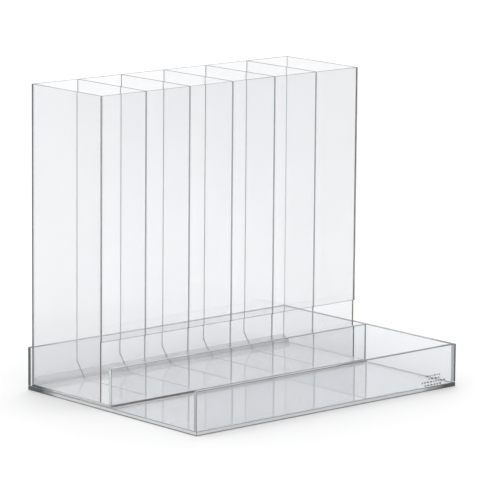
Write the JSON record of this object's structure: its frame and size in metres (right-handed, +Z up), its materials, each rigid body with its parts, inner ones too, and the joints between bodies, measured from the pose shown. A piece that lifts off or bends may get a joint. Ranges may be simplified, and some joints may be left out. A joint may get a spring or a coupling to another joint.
{
  "type": "carton dispenser tray",
  "caption": "Clear sheet dispenser: an open-topped tower of side-by-side carton channels standing in a low tray with a retaining lip and an open front bay.",
  "frame": {"origin": "middle of the tray's underside, on the surface it stands on", "axes": "+X to the right along the row of channels, +Y from the front bay to the back, +Z up"},
  "size_m": [0.4884, 0.3676, 0.439],
  "materials": {
    "tower_sheet": "clear polished sheet with polished edges",
    "tray_sheet": "clear polished sheet, thicker, with polished edges"
  },
  "bodies": {
    "tray": {"base_floor": "tray_sheet", "base_back_wall": "tray_sheet", "base_right_wall": "tray_sheet", "base_front_wall": "tray_sheet", "retaining_lip": "tray_sheet"},
    "tower": {"tower_floor": "tower_sheet", "left_side_panel": "tower_sheet", "right_side_panel": "tower_sheet", "back_panel": "tower_sheet", "front_panel": "tower_sheet", "kicker_bar": "tower_sheet", "divider_1": "tower_sheet", "divider_2": "tower_sheet", "divider_3": "tower_sheet", "divider_4": "tower_sheet", "divider_5": "tower_sheet"}
  },
  "joints": [
    {"name": "tower_lift", "type": "slide", "parent": "tray", "child": "tower", "axis": [0, 0, 1], "range_m": [0, 0.08]}
  ]
}
